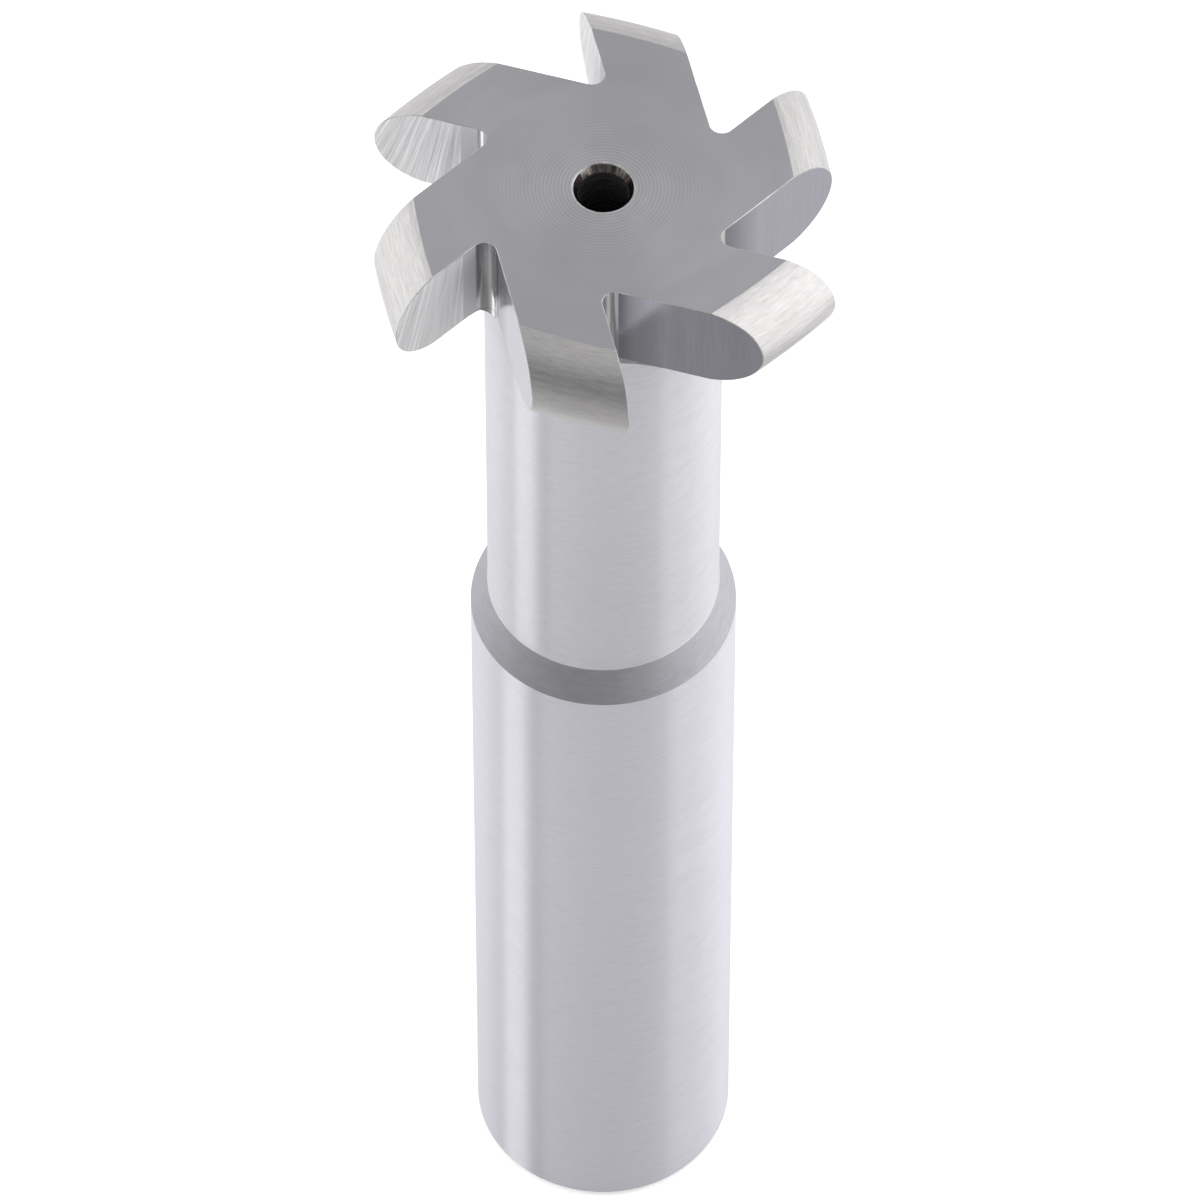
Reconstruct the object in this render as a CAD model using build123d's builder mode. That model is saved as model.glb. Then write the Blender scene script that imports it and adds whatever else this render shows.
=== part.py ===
# Convex radius cutter: a high-speed-steel milling cutter with a straight shank.
# Six form-relieved teeth with a full convex radius stand round a disc head.
# Lengths are in millimetres and angles in degrees. The cutter stands on its shank end:
# +Z runs up the axis to the toothed head, and the origin is the centre of the shank end.

import os
from math import atan2, cos, degrees, radians, sin, sqrt, tan

from build123d import *

# Shank, shoulder and neck
overall_length = 75.1
shank_diameter = 12.7
shank_length = 43.1
shank_end_chamfer = 0.4
shoulder_length = 1.8
shoulder_root_radius = 0.3
neck_diameter = 11.05
neck_top_radius = 1.6

# Teeth, seen from the tip
tooth_count = 6
first_tooth_angle = 93.65  # where the first cutting corner points, from +X towards +Y
corner_circle_diameter = 18.62  # across the corners where the cutting edges meet the side faces
tooth_angle = 29.9  # from a tooth's cutting corner back to its heel corner
heel_drop = 0.62  # how much nearer to the axis the heel corner lies than the cutting corner
land_radius = 34.0  # bow of the relieved land between the two corners
rake_angle = 10.0
gullet_angle = 60.0
gullet_root_radius = 0.57

# Convex form, square to the land
form_radius = 2.5
form_height = 2.06  # crest above the corners

# Centre holes in both ends, on which the cutter was ground
centre_cone_angle = 60.0
drill_point_angle = 118.0
tip_rim_diameter = 2.8
tip_pilot_diameter = 2.34
tip_pilot_depth = 7.0  # from the end face to the end of the straight wall
shank_rim_diameter = 5.3
shank_pilot_diameter = 2.5
shank_pilot_depth = 5.0

# Heights that follow from the sizes above
head_width = 2 * sqrt(form_radius**2 - (form_radius - form_height) ** 2)
head_bottom = overall_length - head_width
neck_bottom = shank_length + shoulder_length

shank_radius = shank_diameter / 2
neck_radius = neck_diameter / 2
corner_radius = corner_circle_diameter / 2
tooth_pitch = 360 / tooth_count


def polar(radius, angle):
    """Point in plan at a distance from the axis, in the direction of an angle."""
    return Vector(radius * cos(radians(angle)), radius * sin(radians(angle)))


def cross(first, second):
    """Height of the cross product of two plan directions."""
    return first.X * second.Y - first.Y * second.X


# Plan of the first tooth: its two corners, and the heel of the tooth ahead across its gullet
cutting_corner = polar(corner_radius, first_tooth_angle)
heel_corner = polar(corner_radius - heel_drop, first_tooth_angle - tooth_angle)
heel_ahead = heel_corner.rotate(Axis.Z, tooth_pitch)

# The gullet's walls run from its root along these directions, through the two corners beside it
rake_direction = polar(1, first_tooth_angle + rake_angle)
back_direction = rake_direction.rotate(Axis.Z, gullet_angle)
gullet_root = cutting_corner + rake_direction * (
    cross(heel_ahead - cutting_corner, back_direction) / cross(rake_direction, back_direction)
)
gullet_reach = corner_circle_diameter

# The land is relieved by swinging the convex form about an axis of its own, the relief axis
land_chord = cutting_corner - heel_corner
inward = land_chord.normalized().rotate(Axis.Z, 90)
relief_centre = (cutting_corner + heel_corner) / 2 + inward * sqrt(land_radius**2 - (land_chord.length / 2) ** 2)
corner_swing = cutting_corner - relief_centre
heel_swing = heel_corner - relief_centre

# Each tooth blank runs on to the middle of the gullet on either side, where the gullets are cut
run_on = degrees((heel_ahead - cutting_corner).length / 2 / land_radius)
swing_start = degrees(atan2(heel_swing.Y, heel_swing.X)) - run_on
swing_arc = degrees(atan2(corner_swing.Y, corner_swing.X)) + run_on - swing_start

# The hub reaches past the gullet roots and the fillet under it, and the tooth blanks reach in to the neck
hub_margin = 0.2
hub_radius = hub_margin + max(neck_radius + neck_top_radius, gullet_root.length + 2 * gullet_root_radius)
blank_depth = corner_radius - neck_radius

# One relieved tooth blank, with its convex form
swing_direction = polar(1, swing_start)
with BuildPart() as tooth_blank:
    with BuildSketch(
        Plane(origin=relief_centre, x_dir=swing_direction, z_dir=swing_direction.cross(Vector(0, 0, 1)))
    ):
        with BuildLine():
            crest = ThreePointArc(
                (land_radius, head_bottom),
                (land_radius + form_height, head_bottom + head_width / 2),
                (land_radius, overall_length),
            )
            Polyline(
                crest @ 1,
                (land_radius - blank_depth, overall_length),
                (land_radius - blank_depth, head_bottom),
                crest @ 0,
            )
        make_face()
    revolve(axis=Axis(relief_centre, (0, 0, 1)), revolution_arc=swing_arc)

# Plan of one gullet: two flat walls and a rounded root
with BuildSketch() as gullet_plan:
    with BuildLine():
        Polyline(
            gullet_root,
            gullet_root + rake_direction * gullet_reach,
            gullet_root + back_direction * gullet_reach,
            close=True,
        )
    make_face()
    fillet(gullet_plan.vertices().sort_by_distance(gullet_root)[0], radius=gullet_root_radius)

with BuildPart() as cutter:
    # Shank, shoulder, neck and hub, turned in one setting
    with BuildSketch(Plane.XZ) as turned_profile:
        with BuildLine():
            Polyline(
                (0, 0),
                (shank_radius - shank_end_chamfer, 0),
                (shank_radius, shank_end_chamfer),
                (shank_radius, shank_length),
                (neck_radius, neck_bottom),
                (neck_radius, head_bottom),
                (hub_radius, head_bottom),
                (hub_radius, overall_length),
                (0, overall_length),
                close=True,
            )
        make_face()
        fillet(
            turned_profile.vertices().sort_by_distance((neck_radius, neck_bottom))[0],
            radius=shoulder_root_radius,
        )
        fillet(
            turned_profile.vertices().sort_by_distance((neck_radius, head_bottom))[0],
            radius=neck_top_radius,
        )
    revolve(axis=Axis.Z)

    # Teeth round the hub
    with PolarLocations(0, tooth_count):
        add(tooth_blank.part)

    # Gullets, milled along the axis through the head and the fillet under it
    with BuildSketch(Plane.XY.offset(head_bottom - neck_top_radius)):
        with PolarLocations(0, tooth_count):
            add(gullet_plan.sketch)
    extrude(amount=neck_top_radius + head_width, mode=Mode.SUBTRACT)

    # Centre holes: cone, pilot and drill point, into the tip and into the shank end
    for end, into, rim_diameter, pilot_diameter, pilot_depth in (
        (overall_length, -1, tip_rim_diameter, tip_pilot_diameter, tip_pilot_depth),
        (0, 1, shank_rim_diameter, shank_pilot_diameter, shank_pilot_depth),
    ):
        cone_depth = (rim_diameter - pilot_diameter) / 2 / tan(radians(centre_cone_angle / 2))
        point_depth = pilot_diameter / 2 / tan(radians(drill_point_angle / 2))
        with BuildSketch(Plane.XZ):
            with BuildLine():
                Polyline(
                    (0, end),
                    (rim_diameter / 2, end),
                    (pilot_diameter / 2, end + into * cone_depth),
                    (pilot_diameter / 2, end + into * pilot_depth),
                    (0, end + into * (pilot_depth + point_depth)),
                    close=True,
                )
            make_face()
        revolve(axis=Axis.Z, mode=Mode.SUBTRACT)

cutter.part.label = "cutter"

os.makedirs("parts", exist_ok=True)
export_step(cutter.part, "parts/cutter.step")
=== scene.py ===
"""Convex radius cutter in ground high speed steel, standing on its shank end in a small white studio.

The toothed head and the turned body are modelled over the fixed frame, in metres, with +Z up the axis.
"""

from math import acos, atan2, ceil, cos, degrees, hypot, pi, radians, sin, sqrt, tan

import bmesh
import bpy
from bpy.props import FloatProperty, FloatVectorProperty, IntProperty, PointerProperty
from bpy.types import Operator, Panel, PropertyGroup
from mathutils import Matrix, Vector


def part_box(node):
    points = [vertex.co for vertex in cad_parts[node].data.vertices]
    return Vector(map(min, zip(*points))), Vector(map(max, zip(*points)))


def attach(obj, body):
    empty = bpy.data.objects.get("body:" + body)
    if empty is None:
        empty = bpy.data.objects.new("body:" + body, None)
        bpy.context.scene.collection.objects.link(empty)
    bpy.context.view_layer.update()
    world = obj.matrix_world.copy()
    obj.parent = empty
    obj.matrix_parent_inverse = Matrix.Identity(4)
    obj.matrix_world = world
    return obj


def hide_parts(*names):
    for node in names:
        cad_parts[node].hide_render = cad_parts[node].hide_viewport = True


bl_info = {
    "name": "Convex radius cutter",
    "version": (1, 0, 0),
    "blender": (4, 5, 0),
    "location": "3D View > Sidebar > Cutter",
    "description": "Models a convex radius cutter in ground steel, with the studio it stands in",
    "category": "Add Mesh",
}

MM = 0.001

# Surfaces of the cutter, each with a steel of the same name
REGIONS = (
    "end_face", "land", "rake_face", "tooth_back", "gullet_root", "edge", "centre_cone", "centre_hole",
    "underside", "neck", "shoulder", "shank", "shank_end",
)

# How many spans a curve is divided into
ROOT_STEPS = 12
LAND_STEPS = 20
FORM_STEPS = 40
HOLE_STEPS = 72
BODY_STEPS = 180
FLARE_STEPS = 16
BREAK_STEPS = 2
CORNER_STEPS = 3  # at least, round a corner of the section
CORNER_TURN = 7  # degrees in each of them, at most

# In one tooth's part of an outline, from its cutting corner on: the heel's place, and the count of points
HEEL_STATION = ROOT_STEPS + 2
STATIONS = HEEL_STATION + LAND_STEPS

# Circles at the mouth of the tip's hole: outwards from the rim and down, in shares of the rim break
RIM_ROLL = ((1.0, 0.0), (0.3, 0.1), (-0.1, 0.5))

MERGE_DISTANCE = 0.0005 * MM
LEVEL_TOLERANCE = 0.001 * MM
CREASE_ANGLE = radians(20)
WALL_MARGIN = 1.01  # times the radius of the tip's hole, for the faces that count as its wall
UPRIGHT_RISE = 0.02  # of a normal, at most, on a face that counts as upright

# Places on the grain map, in millimetres
TOOTH_STRIDE = 40  # from one tooth to the next
FAN_REACH = 13.2  # from the middle of a rake face up to where its marks meet
FAN_OFFSET = 0.76  # from the apex of the gullet out to where they meet
PLAIN_STRIP = (1.75, 1.85)  # from that apex, where the plain strip of a rake face gives way to its marks
TOOTH_SHIFT = 7.3  # through the noise from one tooth to the next

RING_PITCH = 0.17  # from ring to ring on the end face, in millimetres
NOISE_SPAN = (0.3, 0.7)  # where most of a noise lies

# Where the parts of the light tent give way to each other
TABLE_EDGE = (-0.76, -0.45)  # rise of a direction, from the table to the panels
FRONT_EDGE = (25 / 360, 31 / 360)  # share of a turn from the front, to the sides
CROWN_EDGE = (0.18, 0.36)  # distance from the direction that the tent leans to, out to the sides

# The two soft lamps, in metres
LAMP_PLACES = {"left_softbox": (-0.9, -0.1, 0.5), "right_softbox": (0.9, 0.1, 0.5)}
LAMP_AIM = (0, 0, 0.04)
LAMP_SIZE = (0.5, 0.8)

SENSOR_WIDTH = 36  # millimetres
CAMERA_CLIP = (0.01, 20)  # metres

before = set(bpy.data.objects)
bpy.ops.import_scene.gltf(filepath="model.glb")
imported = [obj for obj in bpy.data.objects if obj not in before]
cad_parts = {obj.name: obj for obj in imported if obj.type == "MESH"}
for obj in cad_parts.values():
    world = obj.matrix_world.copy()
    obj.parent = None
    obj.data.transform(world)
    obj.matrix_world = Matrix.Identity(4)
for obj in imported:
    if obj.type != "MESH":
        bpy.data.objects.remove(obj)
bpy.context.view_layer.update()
cutter_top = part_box("cutter")[1].z


def length(name, description, millimetres):
    return FloatProperty(name=name, description=description, default=millimetres * MM, min=0, unit="LENGTH")


def angle(name, description, turn):
    return FloatProperty(name=name, description=description, default=radians(turn), subtype="ANGLE")


def colour(name, description, red, green, blue):
    return FloatVectorProperty(
        name=name, description=description, default=(red, green, blue), min=0, max=1, size=3, subtype="COLOR"
    )


class CutterSizes(PropertyGroup):
    """Sizes of the cutter, as the frame has them"""

    overall_length: length("Overall length", "From the shank end to the end face", cutter_top / MM)
    shank_diameter: length("Shank diameter", "Across the ground shank", 12.7)
    shank_length: length("Shank length", "From the shank end to the shoulder", 43.1)
    shank_end_chamfer: length("Shank end chamfer", "Width of the chamfer at the shank end", 0.4)
    shoulder_length: length("Shoulder length", "Height of the cone from the shank to the neck", 1.8)
    shoulder_root_radius: length("Shoulder root radius", "Where the shoulder meets the neck", 0.3)
    neck_diameter: length("Neck diameter", "Across the turned neck", 11.05)
    neck_top_radius: length("Neck top radius", "Where the neck flares out under the head", 1.6)
    tooth_count: IntProperty(name="Teeth", description="Number of teeth round the head", default=6, min=3)
    first_tooth: angle("First tooth", "Where the first cutting corner points, from +X towards +Y", 93.65)
    corner_circle: length("Corner circle", "Across the corners where the cutting edges start", 18.62)
    tooth_angle: angle("Tooth angle", "From a cutting corner back to its heel corner", 29.9)
    heel_drop: length("Heel drop", "How much nearer to the axis the heel corner lies", 0.62)
    land_radius: length("Land radius", "Bow of the relieved land between its corners", 34.0)
    rake: angle("Rake", "Lean of the rake face from the radius through its corner", 10.0)
    gullet_angle: angle("Gullet angle", "Between the two walls of a gullet", 60.0)
    gullet_root_radius: length("Gullet root radius", "Rounding between the walls of a gullet", 0.57)
    form_radius: length("Form radius", "The convex radius that the cutter is made for", 2.5)
    form_height: length("Form height", "Height of the crest above the corners", 2.06)
    tip_rim: length("Tip rim", "Across the mouth of the centre hole in the tip", 2.8)
    tip_pilot: length("Tip pilot", "Across the straight part of that hole", 2.34)
    tip_depth: length("Tip depth", "Depth of the straight part from the end face", 7.0)
    shank_rim: length("Shank end rim", "Across the mouth of the centre hole in the shank end", 5.3)
    shank_pilot: length("Shank end pilot", "Across the straight part of that hole", 2.5)
    shank_depth: length("Shank end depth", "Depth of the straight part from the shank end", 5.0)
    centre_cone: angle("Centre cone", "Full angle of the cones that the centres seat in", 60.0)
    drill_point: angle("Drill point", "Full angle of the drill point that ends a centre hole", 118.0)
    edge_break: length("Edge break", "Width of the worn line along an edge", 0.03)
    rim_break: length("Rim break", "Width of the rounding at the mouth of the tip's hole", 0.08)


class CutterFinish(PropertyGroup):
    """Colours of the steel, as each operation leaves it, and the near black of the centre holes, which is painted
    shade
    """

    turned: colour("Turned steel", "The neck, the head's underside and the shank end", 0.705, 0.70, 0.738)
    shoulder: colour("Shoulder steel", "The darker cone between neck and shank", 0.61, 0.605, 0.645)
    shank: colour("Shank steel", "The shank, ground between centres", 0.70, 0.695, 0.755)
    face: colour("End face steel", "The end face", 0.605, 0.595, 0.63)
    land: colour("Land steel", "The relieved lands", 0.84, 0.825, 0.82)
    rake: colour("Rake steel", "The rake faces", 0.80, 0.80, 0.81)
    back: colour("Back steel", "The backs of the teeth", 0.71, 0.70, 0.78)
    gullet: colour("Gullet steel", "The roots of the gullets", 0.72, 0.72, 0.735)
    edge: colour("Edge steel", "The bright line along an edge", 0.86, 0.855, 0.85)
    cone: colour("Centre cone", "Stained cone at the mouth of a centre hole", 0.34, 0.30, 0.295)
    # Painted shade: this near black stands in for the shade deep inside the centre holes
    hole: colour("Centre hole", "Dark scale left in the centre holes", 0.035, 0.035, 0.038)


class CutterStudio(PropertyGroup):
    """The camera, the lamps, the floor and the light tent round the cutter"""

    camera_elevation: angle("Camera elevation", "How far the camera looks down", 54.38)
    camera_distance: length("Camera distance", "From the camera to the point it looks at", 562.43)
    camera_aim_height: length("Camera aim height", "Height of the point that the camera looks at", 42.815)
    camera_aim_side: FloatProperty(
        name="Camera aim side", description="Where that point lies along X", default=-0.163 * MM, unit="LENGTH"
    )
    camera_lens: FloatProperty(
        name="Camera lens", description="Focal length in mm, on a sensor 36 mm wide", default=352.8, min=1
    )
    tent_strength: FloatProperty(
        name="Tent strength", description="Brightness of the light tent in the steel", default=1.0, min=0
    )
    lamp_power: FloatProperty(name="Lamp power", description="Watts of each soft lamp", default=4.0, min=0)
    floor_size: length("Floor size", "Side of the square floor", 3000.0)
    floor_glow: FloatProperty(
        name="Floor glow", description="How much the floor glows for the camera alone", default=0.25, min=0
    )


def polar(radius, turn):
    """Point in plan at a distance from the axis"""
    return Vector((radius * cos(turn), radius * sin(turn), 0))


def turned_by(point, turn):
    """Point turned about the axis"""
    return Matrix.Rotation(turn, 3, "Z") @ point


def heading(vector):
    """Direction of a vector in plan, as an angle"""
    return atan2(vector.y, vector.x)


def crossed(first, second):
    """Height of the cross product of two plan vectors"""
    return first.x * second.y - first.y * second.x


class ToothPlan:
    """Plan of one tooth, the gullet ahead of it and the land of the next tooth"""

    def __init__(self, sizes):
        self.sizes = sizes
        self.pitch = 2 * pi / sizes.tooth_count
        corner_radius = sizes.corner_circle / 2
        self.corner = polar(corner_radius, sizes.first_tooth)
        heel = polar(corner_radius - sizes.heel_drop, sizes.first_tooth - sizes.tooth_angle)
        heel_ahead = turned_by(heel, self.pitch)
        self.rake_way = polar(1, sizes.first_tooth + sizes.rake)
        self.back_way = turned_by(self.rake_way, sizes.gullet_angle)
        reach = crossed(heel_ahead - self.corner, self.back_way) / crossed(self.rake_way, self.back_way)
        self.root = self.corner + self.rake_way * reach
        chord = self.corner - heel
        inward = turned_by(chord.normalized(), pi / 2)
        depth = sqrt(sizes.land_radius**2 - (chord.length / 2) ** 2)
        self.relief_centre = (self.corner + heel) / 2 + inward * depth
        self.head_width = 2 * sqrt(sizes.form_radius**2 - (sizes.form_radius - sizes.form_height) ** 2)
        self.bottom = sizes.overall_length - self.head_width
        self.middle = sizes.overall_length - self.head_width / 2

    def crest(self, height):
        """How far the land stands out from its corners at a height"""
        form = self.sizes.form_radius
        return sqrt(form**2 - (height - self.middle) ** 2) - (form - self.sizes.form_height)

    def wall_end(self, start, way, centre, radius):
        """Where a gullet wall meets a land"""
        offset = start - centre
        along = offset.dot(way)
        return start + way * (sqrt(along**2 - offset.length_squared + radius**2) - along)

    def gullet(self, inset):
        """Apex of a gullet whose walls are set back by an inset, and its root from the rake face on"""
        half = self.sizes.gullet_angle / 2
        outward = (self.rake_way + self.back_way).normalized()
        apex = self.root - outward * (inset / sin(half))
        radius = self.sizes.gullet_root_radius + inset
        centre = apex + outward * (radius / sin(half))
        first = heading(-outward) + (pi / 2 - half)
        sweep = pi - 2 * half
        turns = [first - sweep * step / ROOT_STEPS for step in range(ROOT_STEPS + 1)]
        return apex, [centre + polar(radius, turn) for turn in turns]

    def outline(self, height, inset):
        """Outline of the head at a height, tooth after tooth, with its gullets set back by an inset"""
        radius = self.sizes.land_radius + self.crest(height)
        centre_ahead = turned_by(self.relief_centre, self.pitch)
        apex, root = self.gullet(inset)
        cut = self.wall_end(apex, self.rake_way, self.relief_centre, radius)
        heel = self.wall_end(apex, self.back_way, centre_ahead, radius)
        first = heading(heel - centre_ahead)
        last = heading(turned_by(cut, self.pitch) - centre_ahead)
        sweep = (last - first) % (2 * pi)
        turns = [first + sweep * step / LAND_STEPS for step in range(LAND_STEPS)]
        points = [cut] + root + [centre_ahead + polar(radius, turn) for turn in turns]
        lift = Vector((0, 0, height))
        return [
            turned_by(point, self.pitch * tooth) + lift
            for tooth in range(self.sizes.tooth_count)
            for point in points
        ]


def closed_ring(bm, points):
    """Closed loop of edges through points"""
    verts = [bm.verts.new(point) for point in points]
    edges = [bm.edges.new((vert, verts[place - 1])) for place, vert in enumerate(verts)]
    return verts, edges


def hole_ring(bm, radius, height):
    """Edges of a level circle about the axis"""
    turn = 2 * pi / HOLE_STEPS
    lift = Vector((0, 0, height))
    return closed_ring(bm, [polar(radius, turn * step) + lift for step in range(HOLE_STEPS)])[1]


def set_region(faces, region):
    """Give faces to a surface of the cutter"""
    for face in faces:
        face.material_index = REGIONS.index(region)


def bridged(bm, rings):
    """Wall of quads from each ring of edges to the next"""
    faces = []
    for lower, upper in zip(rings, rings[1:]):
        faces += bmesh.ops.bridge_loops(bm, edges=lower + upper)["faces"]
    return faces


def open_edges(bm, height):
    """Edges at a height that have a face on one side only, or none"""
    return [
        edge
        for edge in bm.edges
        if len(edge.link_faces) < 2 and all(abs(vert.co.z - height) < LEVEL_TOLERANCE for vert in edge.verts)
    ]


def finished_object(bm, name, context):
    """Object of a mesh that is closed and faces outwards"""
    bmesh.ops.remove_doubles(bm, verts=bm.verts, dist=MERGE_DISTANCE)
    bmesh.ops.recalc_face_normals(bm, faces=bm.faces)
    if any(not edge.is_manifold for edge in bm.edges):
        raise RuntimeError(f"{name} isn't closed")
    mesh = bpy.data.meshes.new(name)
    bm.to_mesh(mesh)
    bm.free()
    piece = bpy.data.objects.new(name, mesh)
    context.scene.collection.objects.link(piece)
    return piece


def shade(piece, flat_regions, joined_regions):
    """Smooth faces with crisp edges where one operation's surface meets another's"""
    bm = bmesh.new()
    bm.from_mesh(piece.data)
    flat = {REGIONS.index(region) for region in flat_regions}
    joined = {frozenset(REGIONS.index(region) for region in pair) for pair in joined_regions}
    for face in bm.faces:
        face.smooth = face.material_index not in flat
    for edge in bm.edges:
        found = frozenset(face.material_index for face in edge.link_faces)
        meets = len(found) > 1 and found not in joined
        edge.smooth = not meets and edge.calc_face_angle(0) < CREASE_ANGLE
    bm.to_mesh(piece.data)
    bm.free()


def dress(piece):
    """Steel on every region, the piece hung under the root body, and the cutter from model.glb hidden"""
    for region in REGIONS:
        piece.data.materials.append(bpy.data.materials[region])
    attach(piece, "root")
    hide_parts("cutter")


class CUTTER_OT_toothed_head(Operator):
    """Model the relieved teeth and the gullets between them, down to the underside of the head"""

    bl_idname = "cutter.toothed_head"
    bl_label = "Toothed head"

    def levels(self, plan):
        """Heights of the outlines, and how far the gullets' walls are broken back there"""
        edge, form = plan.sizes.edge_break, plan.sizes.form_radius
        low = []
        for step in range(BREAK_STEPS):
            turn = pi / 2 * step / BREAK_STEPS
            low.append((plan.bottom + edge * (1 - cos(turn)), edge * (1 - sin(turn))))
        high = [(2 * plan.middle - height, inset) for height, inset in reversed(low)]
        corner = acos((plan.head_width / 2 - edge) / form)
        arc = pi - 2 * corner
        turns = [corner + arc * step / FORM_STEPS for step in range(FORM_STEPS + 1)]
        return low + [(plan.middle - form * cos(turn), 0) for turn in turns] + high

    def name_walls(self, bm, outlines):
        """Region of each quad between two outlines, by where it stands in them"""
        spots = {}
        for row, verts in enumerate(outlines):
            for place, vert in enumerate(verts):
                spots[vert] = (row, place % STATIONS)
        top = len(outlines) - 1
        for face in bm.faces:
            rows = [spots[vert][0] for vert in face.verts]
            places = {spots[vert][1] for vert in face.verts}
            if max(places) > HEEL_STATION:
                region = "land"
            elif max(rows) <= BREAK_STEPS or min(rows) >= top - BREAK_STEPS:
                region = "edge"
            elif places == {0, 1}:
                region = "rake_face"
            elif places == {HEEL_STATION - 1, HEEL_STATION}:
                region = "tooth_back"
            else:
                region = "gullet_root"
            set_region([face], region)

    def map_grain(self, bm, plan):
        """Grain map in millimetres: along the marks of the wheel, and across them"""
        grain = bm.loops.layers.uv.new("grain")
        start = plan.sizes.first_tooth - plan.sizes.tooth_angle
        for face in bm.faces:
            region = REGIONS[face.material_index]
            if region not in ("rake_face", "gullet_root", "tooth_back", "land"):
                continue
            tooth = ((heading(face.calc_center_median()) - start) % (2 * pi)) // plan.pitch
            for loop in face.loops:
                point = turned_by(loop.vert.co, -plan.pitch * tooth)
                along, across = self.grain_place(point, region, plan)
                loop[grain].uv = (along / MM, across / MM + TOOTH_STRIDE * tooth)

    def grain_place(self, point, region, plan):
        """How far a point of the first tooth lies along the marks, and across them"""
        if region == "land":
            arm = point - plan.relief_centre
            along = heading(turned_by(arm, -plan.sizes.first_tooth)) * plan.sizes.land_radius
            form = plan.sizes.form_radius
            return along, form * (pi - acos((point.z - plan.middle) / form))
        return point.z, (Vector((point.x, point.y, 0)) - plan.root).length

    def walls(self, bm, plan):
        """Lands and gullet walls, with a worn line along the upright edges where they meet"""
        rings = [closed_ring(bm, plan.outline(height, inset)) for height, inset in self.levels(plan)]
        bridged(bm, [edges for _, edges in rings])
        outlines = [verts for verts, _ in rings]
        self.name_walls(bm, outlines)
        upright = []
        for lower, upper in zip(outlines, outlines[1:]):
            for place, ends in enumerate(zip(lower, upper)):
                if place % STATIONS in (0, HEEL_STATION):
                    upright.append(bm.edges.get(ends))
        if None in upright:
            raise RuntimeError("the outlines of the head are joined out of step")
        broken = bmesh.ops.bevel(
            bm, geom=upright, affect="EDGES", offset=plan.sizes.edge_break, segments=BREAK_STEPS, profile=0.5,
            material=-1, clamp_overlap=True,
        )
        set_region(broken["faces"], "edge")

    def hole(self, bm, plan):
        """Wall of the centre hole, from its rounded mouth down the cone to the underside"""
        sizes = plan.sizes
        top, edge, rounding = sizes.overall_length, sizes.edge_break, sizes.rim_break
        rim, pilot = sizes.tip_rim / 2, sizes.tip_pilot / 2
        cone_depth = (rim - pilot) / tan(sizes.centre_cone / 2)
        circles = [(rim + rounding * out, top - rounding * down) for out, down in RIM_ROLL]
        circles += [
            (pilot + edge / 2, top - cone_depth + edge),
            (pilot, top - cone_depth - edge),
            (pilot, plan.bottom),
        ]
        rings = [hole_ring(bm, radius, height) for radius, height in circles]
        regions = ("edge", "edge", "centre_cone", "edge", "centre_hole")
        for upper, lower, region in zip(rings, rings[1:], regions):
            set_region(bridged(bm, (upper, lower)), region)

    def caps(self, bm, plan):
        """Flat end face and underside, round the hole"""
        for height, region in ((plan.sizes.overall_length, "end_face"), (plan.bottom, "underside")):
            cap = bmesh.ops.triangle_fill(bm, use_beauty=True, edges=open_edges(bm, height), normal=(0, 0, 1))
            set_region([item for item in cap["geom"] if isinstance(item, bmesh.types.BMFace)], region)

    def execute(self, context):
        plan = ToothPlan(context.scene.cutter_sizes)
        bm = bmesh.new()
        self.walls(bm, plan)
        self.hole(bm, plan)
        self.caps(bm, plan)
        self.map_grain(bm, plan)
        piece = finished_object(bm, "toothed_head", context)
        shade(
            piece,
            flat_regions=("end_face", "underside", "rake_face", "tooth_back"),
            joined_regions=(("rake_face", "gullet_root"), ("tooth_back", "gullet_root")),
        )
        dress(piece)
        return {"FINISHED"}


def rounded(corners):
    """Section line of straight runs, where each corner (radius, height, rounding) is rounded"""
    points = []
    for place, (radius, height, rounding) in enumerate(corners):
        here = Vector((radius, height))
        if rounding == 0:
            points.append(here)
            continue
        before = (Vector(corners[place - 1][:2]) - here).normalized()
        after = (Vector(corners[place + 1][:2]) - here).normalized()
        half = before.angle(after) / 2
        reach = rounding / tan(half)
        middle = here + (before + after).normalized() * (rounding / sin(half))
        first = here + before * reach - middle
        sweep = first.angle_signed(here + after * reach - middle)
        steps = max(CORNER_STEPS, ceil(abs(degrees(sweep)) / CORNER_TURN))
        for step in range(steps + 1):
            points.append(middle + Matrix.Rotation(-sweep * step / steps, 2) @ first)
    return points


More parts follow.
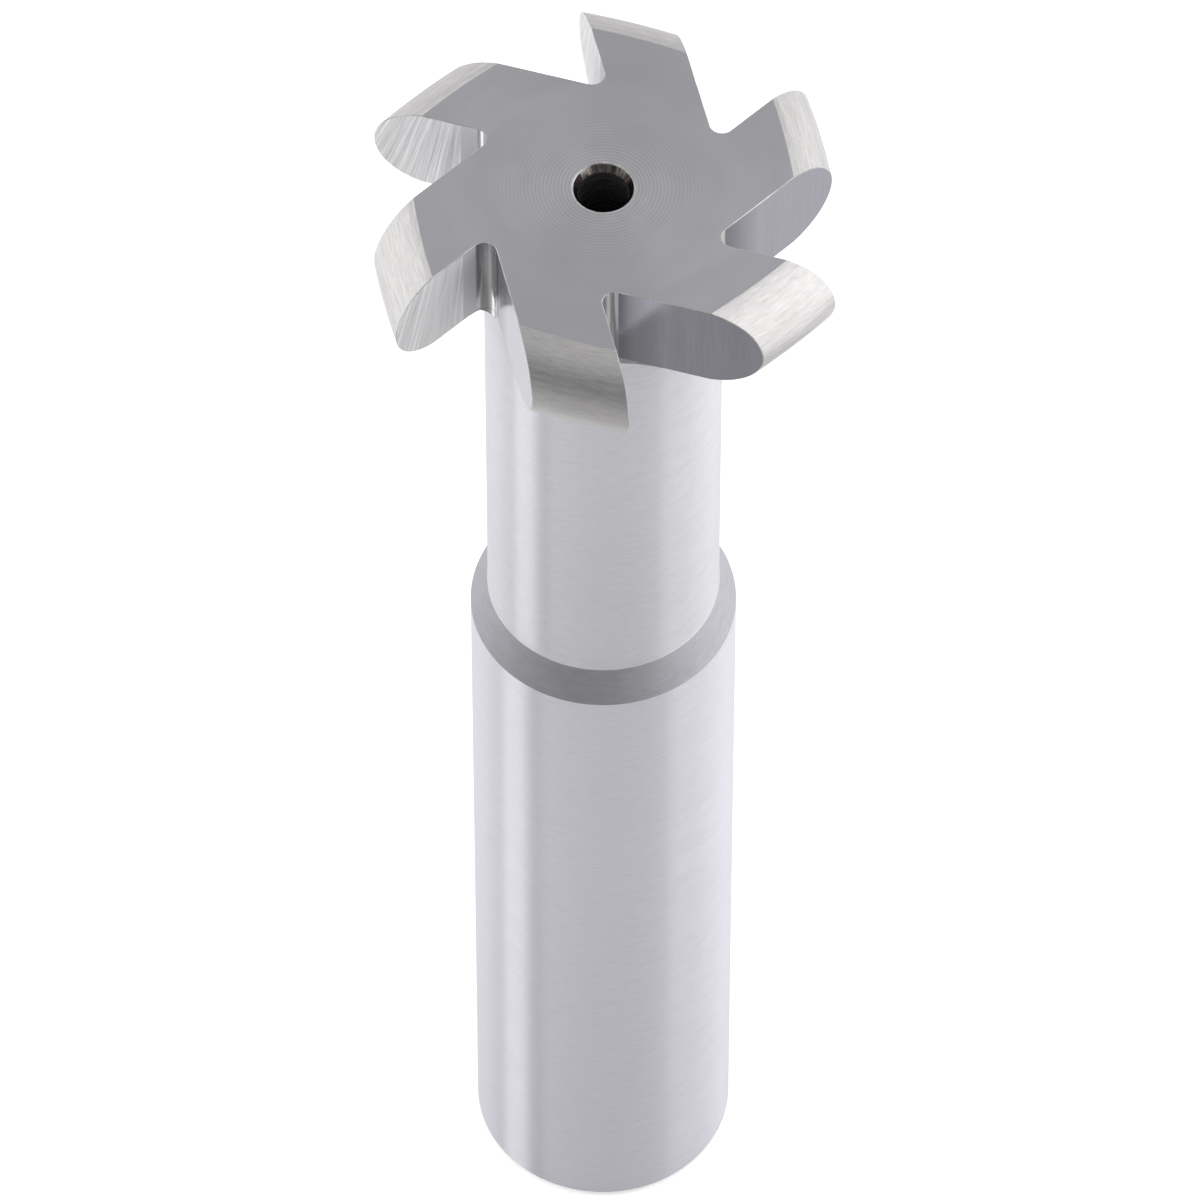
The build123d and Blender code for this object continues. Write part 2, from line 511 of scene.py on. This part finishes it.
class CUTTER_OT_turned_body(Operator):
    """Turn the shank, the shoulder and the neck, and mill the ends of the gullets into the flare above"""

    bl_idname = "cutter.turned_body"
    bl_label = "Turned body"

    def section(self, sizes, plan):
        """Half section from the bottom of the shank's centre hole, round the outside, to the tip's"""
        shank, neck, edge = sizes.shank_diameter / 2, sizes.neck_diameter / 2, sizes.edge_break
        shank_pilot, tip_pilot = sizes.shank_pilot / 2, sizes.tip_pilot / 2
        shank_cone = (sizes.shank_rim / 2 - shank_pilot) / tan(sizes.centre_cone / 2)
        shank_point = shank_pilot / tan(sizes.drill_point / 2)
        tip_point = tip_pilot / tan(sizes.drill_point / 2)
        tip_floor = sizes.overall_length - sizes.tip_depth
        flare = sizes.neck_top_radius
        line = rounded([
            (0, sizes.shank_depth + shank_point, 0),
            (shank_pilot, sizes.shank_depth, 0),
            (shank_pilot, shank_cone, 0),
            (sizes.shank_rim / 2, 0, edge),
            (shank - sizes.shank_end_chamfer, 0, edge),
            (shank, sizes.shank_end_chamfer, edge),
            (shank, sizes.shank_length, 2 * edge),
            (neck, sizes.shank_length + sizes.shoulder_length, sizes.shoulder_root_radius),
            (neck, plan.bottom - flare, 0),
        ])
        for step in range(1, FLARE_STEPS + 1):
            turn = pi / 2 * step / FLARE_STEPS
            line.append(Vector((neck + flare * (1 - cos(turn)), plan.bottom - flare * (1 - sin(turn)))))
        hole = ((tip_pilot, plan.bottom), (tip_pilot, tip_floor), (0, tip_floor - tip_point))
        return line + [Vector(point) for point in hole]

    def gullet_mill(self, sizes, plan, context):
        """The shape that the milling cutter sweeps out in each gullet, through the flare"""
        bm = bmesh.new()
        reach = sizes.corner_circle / 2
        apex, root = plan.gullet(0)
        points = [apex + plan.rake_way * reach] + root + [apex + plan.back_way * reach]
        lift = Vector((0, 0, plan.bottom - sizes.neck_top_radius))
        for tooth in range(sizes.tooth_count):
            verts = [bm.verts.new(turned_by(point, plan.pitch * tooth) + lift) for point in points]
            base = bm.faces.new(verts)
            raised = bmesh.ops.extrude_face_region(bm, geom=[base])["geom"]
            risen = [item for item in raised if isinstance(item, bmesh.types.BMVert)]
            bmesh.ops.translate(bm, verts=risen, vec=(0, 0, 2 * sizes.neck_top_radius))
        return finished_object(bm, "gullet_mill", context)

    def name_surfaces(self, bm, sizes, plan):
        """Region of each face, by its place on the section"""
        neck_bottom = sizes.shank_length + sizes.shoulder_length
        shank_cone = (sizes.shank_rim - sizes.shank_pilot) / 2 / tan(sizes.centre_cone / 2)
        shank_rim, tip_wall = sizes.shank_rim / 2, sizes.tip_pilot / 2 * WALL_MARGIN
        for face in bm.faces:
            middle = face.calc_center_median()
            out = hypot(middle.x, middle.y)
            if sizes.edge_break < middle.z < shank_cone and out < shank_rim:
                region = "centre_cone"
            elif out < tip_wall or (out < shank_rim and middle.z < sizes.shank_depth):
                region = "centre_hole"
            elif middle.z < sizes.shank_end_chamfer:
                region = "shank_end"
            elif middle.z < sizes.shank_length:
                region = "shank"
            elif middle.z < neck_bottom - sizes.shoulder_root_radius / 2:
                region = "shoulder"
            elif middle.z < plan.bottom - sizes.neck_top_radius or abs(face.normal.z) > UPRIGHT_RISE:
                region = "neck"
            else:
                region = "gullet_root"
            set_region([face], region)

    def execute(self, context):
        sizes = context.scene.cutter_sizes
        plan = ToothPlan(sizes)
        bm = bmesh.new()
        verts = [bm.verts.new((point.x, 0, point.y)) for point in self.section(sizes, plan)]
        edges = [bm.edges.new(pair) for pair in zip(verts, verts[1:])]
        bmesh.ops.spin(
            bm, geom=verts + edges, cent=(0, 0, 0), axis=(0, 0, 1), angle=2 * pi, steps=BODY_STEPS, use_merge=True
        )
        piece = finished_object(bm, "turned_body", context)
        self.mill(piece, self.gullet_mill(sizes, plan, context), context)

        bm = bmesh.new()
        bm.from_mesh(piece.data)
        bm.normal_update()
        self.name_surfaces(bm, sizes, plan)
        self.map_grain(bm, sizes)
        bm.to_mesh(piece.data)
        bm.free()
        shade(piece, flat_regions=(), joined_regions=(("shank", "shoulder"), ("shoulder", "neck")))
        dress(piece)
        return {"FINISHED"}

    def mill(self, piece, gullets, context):
        """Cut the gullets out of the flare"""
        cut = piece.modifiers.new("gullets", "BOOLEAN")
        cut.operation = "DIFFERENCE"
        cut.solver = "EXACT"
        cut.object = gullets
        context.view_layer.update()
        evaluated = piece.evaluated_get(context.evaluated_depsgraph_get())
        milled = bpy.data.meshes.new_from_object(evaluated)
        piece.modifiers.clear()
        piece.data = milled
        milled.name = "turned_body"
        bpy.data.objects.remove(gullets)
        milled.materials.clear()

    def map_grain(self, bm, sizes):
        """Grain map in millimetres: up the axis, and round it"""
        grain = bm.loops.layers.uv.new("grain")
        for face in bm.faces:
            for loop in face.loops:
                spot = loop.vert.co
                loop[grain].uv = (spot.z / MM, heading(spot) * sizes.neck_diameter / 2 / MM)


class Nodes:
    """The nodes of a material or a world"""

    def __init__(self, tree):
        self.tree = tree

    def node(self, kind, inputs=(), **settings):
        """New node, with each input set to a value or fed by a socket"""
        made = self.tree.nodes.new(kind)
        for name, value in settings.items():
            setattr(made, name, value)
        for place, value in dict(inputs).items():
            if isinstance(value, bpy.types.NodeSocket):
                self.tree.links.new(value, made.inputs[place])
            else:
                made.inputs[place].default_value = value
        return made

    def maths(self, operation, first, second=0.0):
        """Result of an operation on one or two values"""
        return self.node("ShaderNodeMath", {0: first, 1: second}, operation=operation).outputs[0]

    def diagonal(self, first, second):
        """Length of the diagonal over two sides at right angles"""
        squares = [self.maths("MULTIPLY", side, side) for side in (first, second)]
        return self.maths("SQRT", self.maths("ADD", *squares))


class Steel(Nodes):
    """A metal material, with the nodes that its pattern needs"""

    def __init__(self, name, tint, roughness, anisotropic=0.0, metallic=1.0):
        material = bpy.data.materials.new(name)
        material.use_nodes = True
        material.diffuse_color = (*tint, 1)
        super().__init__(material.node_tree)
        self.shader = self.tree.nodes["Principled BSDF"]
        self.tint = tint
        self.shader.inputs["Metallic"].default_value = metallic
        self.shader.inputs["Base Color"].default_value = (*tint, 1)
        self.shader.inputs["Roughness"].default_value = roughness
        self.shader.inputs["Anisotropic"].default_value = anisotropic
        # A quarter of a turn draws highlights out across the marks
        self.shader.inputs["Anisotropic Rotation"].default_value = 0.25

    def weighted(self, first, first_weight, second, second_weight):
        """Sum of two values, each times its own weight"""
        return self.maths(
            "ADD", self.maths("MULTIPLY", first, first_weight), self.maths("MULTIPLY", second, second_weight)
        )

    def vector(self, operation, first, second=(0, 0, 0), scale=1.0):
        """Node that works on one or two vectors"""
        made = self.node("ShaderNodeVectorMath", {0: first, 1: second}, operation=operation)
        made.inputs[3].default_value = scale
        return made

    def place(self):
        """Place on the cutter, in millimetres"""
        spot = self.node("ShaderNodeTexCoord").outputs["Object"]
        return self.vector("SCALE", spot, scale=1 / MM).outputs[0]

    def round_axis(self, around, along_radius, along_height):
        """Seamless coordinates whose pattern runs in rings about the axis"""
        spot = self.place()
        flat = self.vector("MULTIPLY", spot, (1, 1, 0)).outputs[0]
        out = self.vector("LENGTH", flat).outputs[1]
        way = self.vector("NORMALIZE", flat).outputs[0]
        turned = self.vector("SCALE", way, scale=around).outputs[0]
        height = self.node("ShaderNodeSeparateXYZ", {0: spot}).outputs["Z"]
        across = self.weighted(out, along_radius, height, along_height)
        lift = self.node("ShaderNodeCombineXYZ", {2: across}).outputs[0]
        return self.vector("ADD", turned, lift).outputs[0], out, height

    def grain_map(self):
        """Millimetres along and across the wheel's marks, and a number that differs from tooth to tooth"""
        grain = self.node("ShaderNodeUVMap", uv_map="grain").outputs[0]
        spot = self.node("ShaderNodeSeparateXYZ", {0: grain})
        across = self.maths("MODULO", spot.outputs[1], TOOTH_STRIDE)
        tooth = self.maths("FLOOR", self.maths("DIVIDE", spot.outputs[1], TOOTH_STRIDE))
        return spot.outputs[0], across, tooth

    def straight_marks(self, along, across, lean=0.0):
        """Coordinates for straight marks, where the numbers are marks to the millimetre"""
        run, reach, tooth = self.grain_map()
        spot = self.node("ShaderNodeCombineXYZ", {0: run, 1: reach}).outputs[0]
        spun = self.node("ShaderNodeMapping", {0: spot, 2: (0, 0, lean)}).outputs[0]
        scaled = self.vector("MULTIPLY", spun, (along, across, 1)).outputs[0]
        apart = self.node("ShaderNodeCombineXYZ", {2: self.maths("MULTIPLY", tooth, TOOTH_SHIFT)}).outputs[0]
        return self.vector("ADD", scaled, apart).outputs[0]

    def fan_marks(self, along, across, centre_run, centre_reach):
        """Coordinates for straight marks that fan out from a centre on the map"""
        run, reach, tooth = self.grain_map()
        drop = self.maths("SUBTRACT", centre_run, run)
        out = self.maths("SUBTRACT", reach, centre_reach)
        far = self.maths("MULTIPLY", self.diagonal(drop, out), along)
        width = self.maths("MULTIPLY", self.maths("ARCTAN2", out, drop), FAN_REACH * across)
        apart = self.maths("MULTIPLY", tooth, TOOTH_SHIFT)
        return self.node("ShaderNodeCombineXYZ", {0: far, 1: width, 2: apart}).outputs[0]

    def noise(self, spot, detail=2.0, roughness=0.5, scale=1.0):
        """Soft noise from 0 to 1, most of it in NOISE_SPAN"""
        return self.node(
            "ShaderNodeTexNoise", {"Vector": spot, "Scale": scale, "Detail": detail, "Roughness": roughness}
        ).outputs[0]

    def spread(self, value, low, high, new_low, new_high):
        """Value rescaled from one range to another, and held inside it"""
        return self.node(
            "ShaderNodeMapRange", {0: value, 1: low, 2: high, 3: new_low, 4: new_high}, clamp=True
        ).outputs[0]

    def tinted(self, brightness):
        """Base colour made lighter or darker by a value near one"""
        made = self.vector("SCALE", tuple(self.tint))
        self.tree.links.new(brightness, made.inputs[3])
        self.tree.links.new(made.outputs[0], self.shader.inputs["Base Color"])

    def roughened(self, value):
        """Roughness that varies over the surface"""
        self.tree.links.new(value, self.shader.inputs["Roughness"])

    def bumped(self, height, depth):
        """Relief of a depth in millimetres"""
        made = self.node("ShaderNodeBump", {"Height": height, "Distance": depth * MM, "Strength": 1.0})
        self.tree.links.new(made.outputs[0], self.shader.inputs["Normal"])

    def brushed_round(self):
        """Highlights drawn out across marks that run round the axis"""
        spot = self.node("ShaderNodeTexCoord").outputs["Object"]
        way = self.vector("CROSS_PRODUCT", (0, 0, 1))
        self.tree.links.new(spot, way.inputs[1])
        self.tree.links.new(way.outputs[0], self.shader.inputs["Tangent"])

    def brushed_along_map(self):
        """Highlights drawn out across marks that run along the grain map"""
        way = self.node("ShaderNodeTangent", direction_type="UV_MAP", uv_map="grain").outputs[0]
        self.tree.links.new(way, self.shader.inputs["Tangent"])


def make_end_face(finish):
    """Faced end: close rings round the centre hole, which fade into an even satin outwards"""
    steel = Steel("end_face", finish.face, roughness=0.36, anisotropic=0.35)
    spot, out, _ = steel.round_axis(1.6, 0.9, 0.0)
    waver = steel.noise(spot, 2.0)
    feed = steel.weighted(out, 2 * pi / RING_PITCH, waver, 5.0)
    rings = steel.maths("MULTIPLY", steel.maths("SINE", feed), 0.5)
    fine = steel.maths("SUBTRACT", steel.noise(steel.round_axis(3.0, 16.0, 0.0)[0], 2.0), 0.5)
    speck = steel.maths("SUBTRACT", steel.noise(steel.place(), 4.0, 0.7, 7.0), 0.5)
    near = steel.spread(out, 1.6, 5.6, 1.0, 0.12)
    lines = steel.maths("MULTIPLY", steel.maths("ADD", rings, fine), near)
    grey = steel.weighted(lines, 0.19, speck, 0.06)
    broad = steel.spread(steel.noise(steel.place(), 1.0, 0.5, 0.22), *NOISE_SPAN, 0.975, 1.025)
    steel.tinted(steel.maths("ADD", broad, grey))
    steel.roughened(steel.spread(waver, *NOISE_SPAN, 0.34, 0.38))
    steel.bumped(lines, 0.0012)
    steel.brushed_round()


def make_land(finish):
    """Relieved land: fine bright lines along the sweep of the form"""
    steel = Steel("land", finish.land, roughness=0.38, anisotropic=0.85)
    fine = steel.noise(steel.straight_marks(1.6, 17.0, radians(2)), 4.0, 0.65)
    long = steel.noise(steel.straight_marks(0.3, 4.5, radians(-1.5)), 3.0, 0.5)
    mixed = steel.weighted(fine, 0.62, long, 0.38)
    steel.tinted(steel.spread(mixed, 0.34, 0.66, 0.78, 1.13))
    steel.roughened(steel.spread(long, *NOISE_SPAN, 0.34, 0.42))
    steel.bumped(mixed, 0.009)
    steel.brushed_along_map()


def make_rake_face(finish, middle):
    """Rake face: long marks that fan out from the wheel, and a plain strip beside the root"""
    steel = Steel("rake_face", finish.rake, roughness=0.50, anisotropic=0.85, metallic=0.5)
    centre = (middle / MM + FAN_REACH, FAN_OFFSET)
    fine = steel.noise(steel.fan_marks(0.30, 16.0, *centre), 4.0, 0.65)
    deep = steel.noise(steel.fan_marks(0.12, 8.0, *centre), 2.0, 0.5)
    bright = steel.spread(deep, 0.58, 0.66, 0.0, 0.22)
    dark = steel.spread(deep, 0.34, 0.42, 0.14, 0.0)
    streaks = steel.maths("SUBTRACT", bright, dark)
    marks = steel.maths("ADD", steel.spread(fine, 0.33, 0.67, -0.16, 0.16), streaks)
    _, reach, _ = steel.grain_map()
    relief = steel.maths("MULTIPLY", marks, steel.spread(reach, *PLAIN_STRIP, 0.0, 1.0))
    steel.tinted(steel.maths("ADD", steel.spread(reach, *PLAIN_STRIP, 0.80, 1.0), relief))
    steel.roughened(steel.spread(deep, *NOISE_SPAN, 0.45, 0.54))
    steel.bumped(relief, 0.016)
    steel.brushed_along_map()


def make_tooth_back(finish):
    """Back of a tooth: smooth, with faint upright marks, and painted shade darkening it towards the root"""
    steel = Steel("tooth_back", finish.back, roughness=0.20, anisotropic=0.5)
    fine = steel.noise(steel.straight_marks(0.35, 18.0), 3.0, 0.65)
    long = steel.noise(steel.straight_marks(0.10, 1.4), 2.0, 0.5)
    mixed = steel.weighted(fine, 0.75, long, 0.25)
    _, reach, _ = steel.grain_map()
    # Painted shade: the back of a tooth darkens towards the root of its gullet, down to half its tint
    clear = steel.spread(reach, 1.0, 3.2, 0.50, 1.0)
    steel.tinted(steel.maths("MULTIPLY", steel.spread(mixed, *NOISE_SPAN, 0.93, 1.06), clear))
    steel.roughened(steel.spread(long, *NOISE_SPAN, 0.18, 0.22))
    steel.bumped(fine, 0.002)
    steel.brushed_along_map()


def make_gullet_root(finish):
    """Rounded root of a gullet: smooth, with faint upright marks"""
    steel = Steel("gullet_root", finish.gullet, roughness=0.22, anisotropic=0.4)
    fine = steel.noise(steel.straight_marks(0.4, 10.0), 3.0, 0.5)
    steel.tinted(steel.spread(fine, *NOISE_SPAN, 0.86, 1.05))
    steel.roughened(steel.spread(fine, *NOISE_SPAN, 0.18, 0.26))
    steel.bumped(fine, 0.002)
    steel.brushed_along_map()


def make_edge(finish):
    """Worn line along an edge: bright in places, and dull where the wheel has turned it over"""
    steel = Steel("edge", finish.edge, roughness=0.32)
    nicks = steel.noise(steel.place(), 3.0, 0.6, 6.0)
    patches = steel.noise(steel.place(), 1.0, 0.5, 0.8)
    nicked = steel.spread(nicks, *NOISE_SPAN, 0.78, 1.10)
    worn = steel.spread(patches, 0.40, 0.60, 0.62, 1.0)
    steel.tinted(steel.maths("MULTIPLY", nicked, worn))
    steel.roughened(steel.spread(nicks, *NOISE_SPAN, 0.26, 0.42))
    steel.bumped(nicks, 0.004)


def make_centre_cone(finish):
    """Cone that the centre seats in: dark and polished, with a warm stain and scoring down its side"""
    steel = Steel("centre_cone", finish.cone, roughness=0.14, anisotropic=0.5)
    score, _, _ = steel.round_axis(9.0, 0.6, 0.6)
    fine = steel.noise(score, 3.0, 0.6)
    steel.tinted(steel.spread(fine, 0.32, 0.68, 0.30, 1.60))
    steel.roughened(steel.spread(fine, *NOISE_SPAN, 0.08, 0.20))
    steel.bumped(fine, 0.010)
    steel.brushed_round()


def make_centre_hole(finish):
    """Drilled centre hole with rings left by the drill, near black inside with painted shade of its depth"""
    steel = Steel("centre_hole", finish.hole, roughness=0.22, anisotropic=0.3, metallic=0.3)
    rings, _, _ = steel.round_axis(1.5, 6.0, 6.0)
    fine = steel.noise(rings, 3.0, 0.6)
    steel.tinted(steel.spread(fine, *NOISE_SPAN, 0.6, 1.6))
    steel.roughened(steel.spread(fine, *NOISE_SPAN, 0.16, 0.34))
    steel.bumped(fine, 0.006)
    steel.brushed_round()


def make_turned(name, tint, roughness, anisotropic, metallic, lines, relief, painted_foot_shade=(0.0, 1.0, 1.0)):
    """Turned or ground round surface: close level rings, so many to the millimetre, and a foot darkened by
    painted shade

    The last argument gives that painted shade: the height where it starts to clear, the height where it has,
    and the foot's brightness.
    """
    steel = Steel(name, tint, roughness, anisotropic, metallic)
    close, _, height = steel.round_axis(7.0, lines, lines)
    fine = steel.noise(close, 4.0, 0.65)
    wide, _, _ = steel.round_axis(2.5, lines / 5, lines / 5)
    long = steel.noise(wide, 2.0, 0.5)
    mixed = steel.weighted(fine, 0.78, long, 0.22)
    # Painted shade: the surface darkens towards its foot
    clear = steel.spread(height, *painted_foot_shade, 1.0)
    steel.tinted(steel.maths("MULTIPLY", steel.spread(mixed, *NOISE_SPAN, 0.92, 1.07), clear))
    steel.roughened(steel.spread(long, *NOISE_SPAN, roughness - 0.03, roughness + 0.03))
    steel.bumped(mixed, relief)
    steel.brushed_round()


class CUTTER_OT_steel(Operator):
    """Make the steel of each surface, as its own operation leaves it, with painted shade on the centre holes, the
    backs of the teeth, the neck and the shank
    """

    bl_idname = "cutter.steel"
    bl_label = "Steel finishes"

    def execute(self, context):
        finish = context.scene.cutter_finish
        make_end_face(finish)
        make_land(finish)
        make_rake_face(finish, ToothPlan(context.scene.cutter_sizes).middle)
        make_tooth_back(finish)
        make_gullet_root(finish)
        make_edge(finish)
        make_centre_cone(finish)
        make_centre_hole(finish)
        make_turned(
            "underside", finish.turned, roughness=0.34, anisotropic=0.5, metallic=0.8, lines=7.0, relief=0.004
        )
        # Painted shade darkens the neck below 60 mm, and the shank towards its end
        make_turned(
            "neck", finish.turned, roughness=0.36, anisotropic=0.95, metallic=0.57, lines=12.0, relief=0.006,
            painted_foot_shade=(50.0, 60.0, 0.95),
        )
        make_turned(
            "shoulder", finish.shoulder, roughness=0.66, anisotropic=0.0, metallic=1.0, lines=12.0, relief=0.003
        )
        make_turned(
            "shank", finish.shank, roughness=0.36, anisotropic=0.95, metallic=0.60, lines=16.0, relief=0.002,
            painted_foot_shade=(0.0, 30.0, 0.92),
        )
        make_turned(
            "shank_end", finish.turned, roughness=0.34, anisotropic=0.5, metallic=0.8, lines=8.0, relief=0.004
        )
        return {"FINISHED"}


class CUTTER_OT_studio(Operator):
    """Set up the white floor, the light tent, the lamps and the camera"""

    bl_idname = "cutter.studio"
    bl_label = "Studio"

    def lamp(self, context, name, place, power):
        """Soft lamp that faces the cutter and that glossy rays don't see"""
        light = bpy.data.lights.new(name, "AREA")
        light.shape = "RECTANGLE"
        light.size, light.size_y = LAMP_SIZE
        light.energy = power
        lamp = bpy.data.objects.new(name, light)
        lamp.location = place
        lamp.rotation_euler = (Vector(LAMP_AIM) - Vector(place)).to_track_quat("-Z", "Y").to_euler()
        lamp.visible_glossy = False
        context.scene.collection.objects.link(lamp)

    def ramp(self, nodes, value, levels):
        """Colour ramp round a full turn, through directions in degrees and their grey levels"""
        made = nodes.node("ShaderNodeValToRGB", {0: value})
        elements = made.color_ramp.elements
        elements.remove(elements[-1])
        stops = [(direction / 360 + 0.5, (level, level, level, 1)) for direction, level in levels]
        elements[0].position, elements[0].color = stops[0]
        for place, grey in stops[1:]:
            elements.new(place).color = grey
        return made.outputs[0]

    def tent(self, context, studio):
        """World of soft grey and white panels for glossy rays, and plain white for all others"""
        world = bpy.data.worlds.new("light_tent")
        context.scene.world = world
        world.use_nodes = True
        world.node_tree.nodes.clear()
        nodes = Nodes(world.node_tree)
        maths = nodes.maths

        def turn_of(sideways, ahead):
            """Angle from straight ahead, as a place from 0 to 1 on a ramp"""
            return maths("ADD", maths("DIVIDE", maths("ARCTAN2", sideways, ahead), 2 * pi), 0.5)

        def blend(value, low, high, first, second):
            """From the first colour to the second as a value rises through a range"""
            share = nodes.node(
                "ShaderNodeMapRange", {0: value, 1: low, 2: high}, interpolation_type="SMOOTHSTEP"
            ).outputs[0]
            return nodes.node("ShaderNodeMix", {0: share, 6: first, 7: second}, data_type="RGBA").outputs[2]

        way = nodes.node("ShaderNodeTexCoord").outputs["Generated"]
        side, depth, rise = nodes.node("ShaderNodeSeparateXYZ", {0: way}).outputs
        front = maths("MULTIPLY", depth, -1.0)
        # The panels lean over the cutter, so each shows as one upright streak on the shank
        lean = maths("ADD", front, cos(studio.camera_elevation))
        bearing = turn_of(side, lean)

        # Straight ahead, up, over and down behind the cutter: the horizon in front is 0, overhead is 90
        over = self.ramp(nodes, turn_of(rise, front), [
            (-180, 0.76), (-135, 0.80), (-100, 0.88), (-70, 0.88), (-63, 0.36),
            (-58, 0.33), (-54, 0.10), (-50, 0.11), (-44, 0.74), (-26, 0.62), (-12, 0.20),
            (0, 0.13), (34, 0.15), (48, 0.24), (62, 0.48), (78, 0.60), (95, 0.54),
            (126, 0.32), (145, 0.50), (160, 0.70), (180, 0.76),
        ])
        # The table round the cutter, and the panels above it: front is 0, the right side is 90
        table = self.ramp(nodes, bearing, [
            (-180, 0.75), (-120, 0.80), (-90, 0.88), (-76, 0.80), (-62, 0.79), (-54, 0.67),
            (-50, 0.67), (-47, 1.60), (-38, 1.56), (-33, 0.45), (-28, 0.22), (0, 0.20),
            (24, 0.24), (30, 0.60), (38, 0.52), (44, 0.49), (66, 0.88), (92, 0.98),
            (120, 0.85), (180, 0.75),
        ])
        panels = self.ramp(nodes, bearing, [
            (-180, 0.76), (-150, 0.78), (-125, 0.82), (-100, 0.92), (-80, 1.06), (-66, 1.00),
            (-58, 0.80), (-48, 0.54), (-38, 0.46), (-28, 0.24), (24, 0.24), (32, 1.00),
            (38, 1.10), (50, 1.27), (66, 1.34), (80, 1.20), (110, 0.94), (140, 0.85),
            (180, 0.76),
        ])
        sides = blend(rise, *TABLE_EDGE, table, panels)
        aside = maths("ABSOLUTE", maths("SUBTRACT", bearing, 0.5))
        round_it = blend(aside, *FRONT_EDGE, over, sides)
        room = blend(nodes.diagonal(side, lean), *CROWN_EDGE, over, round_it)

        lit = nodes.node("ShaderNodeBackground", {"Color": room, "Strength": studio.tent_strength}).outputs[0]
        paper = nodes.node("ShaderNodeBackground", {"Color": (1, 1, 1, 1)}).outputs[0]
        glossy = nodes.node("ShaderNodeLightPath").outputs["Is Glossy Ray"]
        seen = nodes.node("ShaderNodeMixShader", {0: glossy, 1: paper, 2: lit}).outputs[0]
        nodes.node("ShaderNodeOutputWorld", {0: seen})

    def floor(self, context, studio):
        """White paper floor that takes a soft shadow"""
        bm = bmesh.new()
        bmesh.ops.create_grid(bm, x_segments=1, y_segments=1, size=studio.floor_size / 2)
        mesh = bpy.data.meshes.new("floor")
        bm.to_mesh(mesh)
        bm.free()
        floor = bpy.data.objects.new("floor", mesh)
        context.scene.collection.objects.link(floor)
        paper = bpy.data.materials.new("white_paper")
        paper.use_nodes = True
        tree = paper.node_tree
        shader = tree.nodes["Principled BSDF"]
        shader.inputs["Base Color"].default_value = (0.9, 0.9, 0.9, 1)
        shader.inputs["Roughness"].default_value = 1
        shader.inputs["Specular IOR Level"].default_value = 0
        nodes = Nodes(tree)
        seen = nodes.node("ShaderNodeLightPath").outputs["Is Camera Ray"]
        glow = nodes.maths("MULTIPLY", seen, studio.floor_glow)
        shader.inputs["Emission Color"].default_value = (1, 1, 1, 1)
        tree.links.new(glow, shader.inputs["Emission Strength"])
        floor.data.materials.append(paper)
        floor.visible_glossy = False

    def camera(self, context, studio):
        """Camera at the height and distance of the product picture"""
        data = bpy.data.cameras.new("camera")
        data.lens = studio.camera_lens
        data.sensor_width = SENSOR_WIDTH
        data.clip_start, data.clip_end = CAMERA_CLIP
        camera = bpy.data.objects.new("camera", data)
        aim = Vector((studio.camera_aim_side, 0, studio.camera_aim_height))
        back = Vector((0, -cos(studio.camera_elevation), sin(studio.camera_elevation)))
        camera.location = aim + back * studio.camera_distance
        camera.rotation_euler = back.to_track_quat("Z", "Y").to_euler()
        context.scene.collection.objects.link(camera)
        context.scene.camera = camera

    def execute(self, context):
        studio = context.scene.cutter_studio
        self.camera(context, studio)
        self.floor(context, studio)
        self.tent(context, studio)
        for name, place in LAMP_PLACES.items():
            self.lamp(context, name, place, studio.lamp_power)
        context.scene.view_settings.view_transform = "Standard"
        return {"FINISHED"}


class CUTTER_PT_sidebar(Panel):
    """Sizes, finishes and the steps that make the cutter"""

    bl_idname = "CUTTER_PT_sidebar"
    bl_label = "Convex radius cutter"
    bl_space_type = "VIEW_3D"
    bl_region_type = "UI"
    bl_category = "Cutter"

    def draw(self, context):
        layout = self.layout
        for step in STEPS:
            layout.operator(step.bl_idname)
        for group in (context.scene.cutter_sizes, context.scene.cutter_finish, context.scene.cutter_studio):
            box = layout.box()
            for name in group.bl_rna.properties.keys():
                if name not in ("rna_type", "name"):
                    box.prop(group, name)


GROUPS = {"cutter_sizes": CutterSizes, "cutter_finish": CutterFinish, "cutter_studio": CutterStudio}
STEPS = (CUTTER_OT_steel, CUTTER_OT_toothed_head, CUTTER_OT_turned_body, CUTTER_OT_studio)


def register():
    for kind in (*GROUPS.values(), *STEPS, CUTTER_PT_sidebar):
        bpy.utils.register_class(kind)
    for name, kind in GROUPS.items():
        setattr(bpy.types.Scene, name, PointerProperty(type=kind))


def unregister():
    for name in GROUPS:
        delattr(bpy.types.Scene, name)
    for kind in reversed((*GROUPS.values(), *STEPS, CUTTER_PT_sidebar)):
        bpy.utils.unregister_class(kind)


def main():
    register()
    bpy.ops.cutter.steel()
    bpy.ops.cutter.toothed_head()
    bpy.ops.cutter.turned_body()
    bpy.ops.cutter.studio()


if __name__ == "__main__":
    main()
